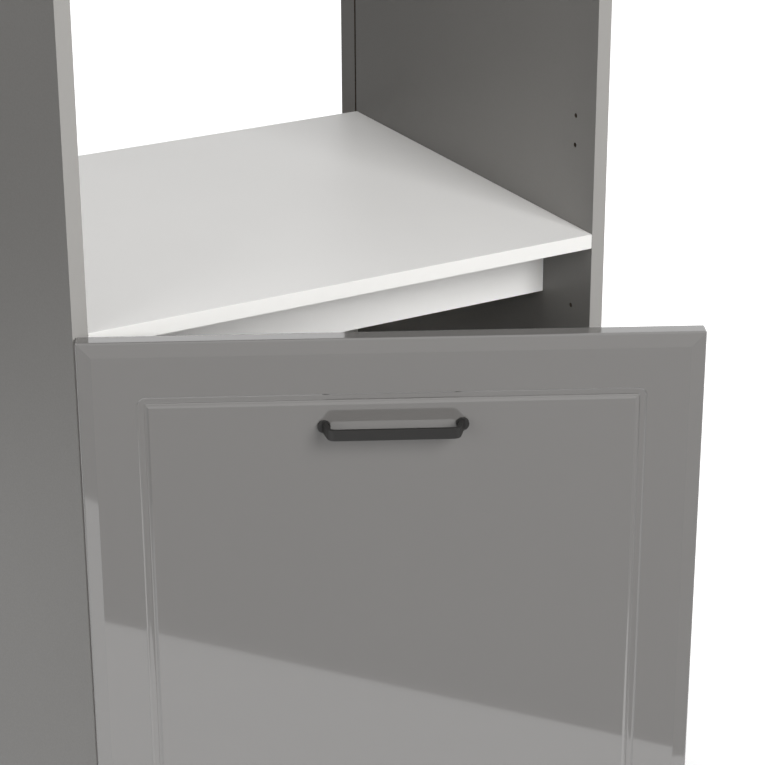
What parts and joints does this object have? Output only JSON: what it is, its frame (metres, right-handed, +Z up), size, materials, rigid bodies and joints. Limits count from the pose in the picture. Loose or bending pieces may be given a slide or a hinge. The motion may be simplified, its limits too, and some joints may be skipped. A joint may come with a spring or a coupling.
{
  "type": "kitchen pantry cabinet",
  "caption": "Tall kitchen cabinet with an open appliance niche between two framed gloss doors on concealed hinges, bow handles, shelves and a set-back plinth.",
  "frame": {"origin": "bottom centre of the outline at rest, with the lower door ajar, on the floor", "axes": "+Z up, +Y to the wall behind, +X to the right seen from the front"},
  "size_m": [0.6036, 0.8398, 2],
  "materials": {
    "grey_board": "matt grey melamine on chipboard",
    "white_board": "satin white melamine on chipboard",
    "thin_back": "white lacquered hardboard, bare on its rear side",
    "grey_gloss": "high-gloss grey foil on MDF",
    "black_metal": "matt black powder coat",
    "nickel_steel": "nickel plated",
    "grey_plastic": "moulded",
    "clear_buffer": "soft clear pad"
  },
  "bodies": {
    "carcass": {"side_panel_left": "grey_board", "side_panel_right": "grey_board", "bottom_panel": "white_board", "niche_floor_shelf": "white_board", "niche_top_shelf": "white_board", "top_panel": "white_board", "niche_front_rail": "white_board", "rear_fixing_rail": "white_board", "lower_shelf": "white_board", "upper_shelf": "white_board", "lower_back_panel": "thin_back", "upper_back_panel": "thin_back", "plinth_board": "grey_board", "lower_shelf_pin_left_front": "nickel_steel", "lower_shelf_pin_left_rear": "nickel_steel", "lower_shelf_pin_right_front": "nickel_steel", "lower_shelf_pin_right_rear": "nickel_steel", "upper_shelf_pin_left_front": "nickel_steel", "upper_shelf_pin_left_rear": "nickel_steel", "upper_shelf_pin_right_front": "nickel_steel", "upper_shelf_pin_right_rear": "nickel_steel", "glide_left_front": "grey_plastic", "glide_left_rear": "grey_plastic", "glide_right_front": "grey_plastic", "glide_right_rear": "grey_plastic", "lower_hinge_bottom_plate": "nickel_steel", "lower_hinge_top_plate": "nickel_steel", "lower_hinge_bottom_arm": "nickel_steel", "lower_hinge_top_arm": "nickel_steel", "upper_hinge_bottom_plate": "nickel_steel", "upper_hinge_top_plate": "nickel_steel", "upper_hinge_bottom_arm": "nickel_steel", "upper_hinge_top_arm": "nickel_steel"},
    "lower_outer_links": {"lower_hinge_bottom_outer_link": "nickel_steel", "lower_hinge_top_outer_link": "nickel_steel"},
    "lower_inner_links": {"lower_hinge_bottom_inner_link": "nickel_steel", "lower_hinge_top_inner_link": "nickel_steel"},
    "lower_door": {"lower_door": "grey_gloss", "lower_handle": "black_metal", "lower_handle_screw_left": "nickel_steel", "lower_handle_screw_right": "nickel_steel", "lower_buffer_bottom": "clear_buffer", "lower_buffer_top": "clear_buffer", "lower_hinge_bottom_cup": "nickel_steel", "lower_hinge_top_cup": "nickel_steel"},
    "upper_outer_links": {"upper_hinge_bottom_outer_link": "nickel_steel", "upper_hinge_top_outer_link": "nickel_steel"},
    "upper_inner_links": {"upper_hinge_bottom_inner_link": "nickel_steel", "upper_hinge_top_inner_link": "nickel_steel"},
    "upper_door": {"upper_door": "grey_gloss", "upper_handle": "black_metal", "upper_handle_screw_left": "nickel_steel", "upper_handle_screw_right": "nickel_steel", "upper_buffer_bottom": "clear_buffer", "upper_buffer_top": "clear_buffer", "upper_hinge_bottom_cup": "nickel_steel", "upper_hinge_top_cup": "nickel_steel"}
  },
  "joints": [
    {"name": "lower_door_opening", "type": "hinge", "parent": "carcass", "child": "lower_outer_links", "pos_m": [-0.26796, -0.15067, 0], "axis": [0, 0, 1], "range_deg": [-13.74, 35.66]},
    {"name": "lower_door_swing", "type": "hinge", "parent": "lower_outer_links", "child": "lower_door", "pos_m": [-0.28504, -0.14733, 0], "axis": [0, 0, -1], "range_deg": [-40.27, 104.33]},
    {"name": "lower_inner_link_swing", "type": "hinge", "parent": "carcass", "child": "lower_inner_links", "pos_m": [-0.27676, -0.15087, 0], "axis": [0, 0, 1], "range_deg": [-11.99, 30.96]},
    {"name": "upper_door_opening", "type": "hinge", "parent": "carcass", "child": "upper_outer_links", "pos_m": [-0.26796, -0.15067, 0], "axis": [0, 0, 1], "range_deg": [0, 49.4]},
    {"name": "upper_door_swing", "type": "hinge", "parent": "upper_outer_links", "child": "upper_door", "pos_m": [-0.28376, -0.14337, 0], "axis": [0, 0, -1], "range_deg": [-0.1, 144.5]},
    {"name": "upper_inner_link_swing", "type": "hinge", "parent": "carcass", "child": "upper_inner_links", "pos_m": [-0.27676, -0.15087, 0], "axis": [0, 0, 1], "range_deg": [-0.1, 42.85]}
  ],
  "couplings": [
    {"joint": "lower_door_swing", "follows": "lower_door_opening", "ratio": 2.9231},
    {"joint": "lower_inner_link_swing", "follows": "lower_door_opening", "ratio": 0.86538},
    {"joint": "upper_door_swing", "follows": "upper_door_opening", "ratio": 2.9231},
    {"joint": "upper_inner_link_swing", "follows": "upper_door_opening", "ratio": 0.86538}
  ]
}
